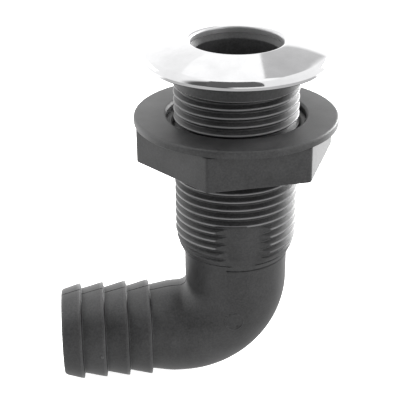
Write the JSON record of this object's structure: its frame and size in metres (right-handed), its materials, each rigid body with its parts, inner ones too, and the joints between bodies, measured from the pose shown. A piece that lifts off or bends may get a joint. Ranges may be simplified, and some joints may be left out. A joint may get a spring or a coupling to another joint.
{
  "type": "thru hull fitting",
  "caption": "Right-angle thru-hull fitting: moulded threaded barrel and barbed hose tail under a polished steel cap, with a bearing washer and a hex nut that screws up against the hull.",
  "frame": {"origin": "on the barrel's axis, in the flange's underside, the face that seats on the outside of the hull", "axes": "+Z along the barrel and out of the hull through the capped mouth, -X along the hose tail, Y across"},
  "size_m": [0.0869, 0.0618, 0.1117],
  "materials": {
    "moulded_body": "fine moulded grain, satin on thread crests and barb edges",
    "polished_steel": "mirror polished stainless steel",
    "moulded_washer": "fine moulded grain",
    "moulded_nut": "fine moulded grain"
  },
  "bodies": {
    "body": {"elbow_body": "moulded_body", "stainless_cap": "polished_steel"},
    "washer": {"bearing_washer": "moulded_washer"},
    "nut": {"hex_nut": "moulded_nut"}
  },
  "joints": [
    {"name": "nut_travel", "type": "slide", "parent": "body", "child": "washer", "axis": [0, 0, 1], "range_m": [-0.02376, 0.01122]},
    {"name": "nut_spin", "type": "hinge", "parent": "washer", "child": "nut", "pos_m": [0, 0, -0.024], "axis": [0, 0, 1], "range_deg": [-3240, 1530]}
  ],
  "couplings": [
    {"joint": "nut_travel", "follows": "nut_spin", "m_per_rad": 0.00042017}
  ]
}
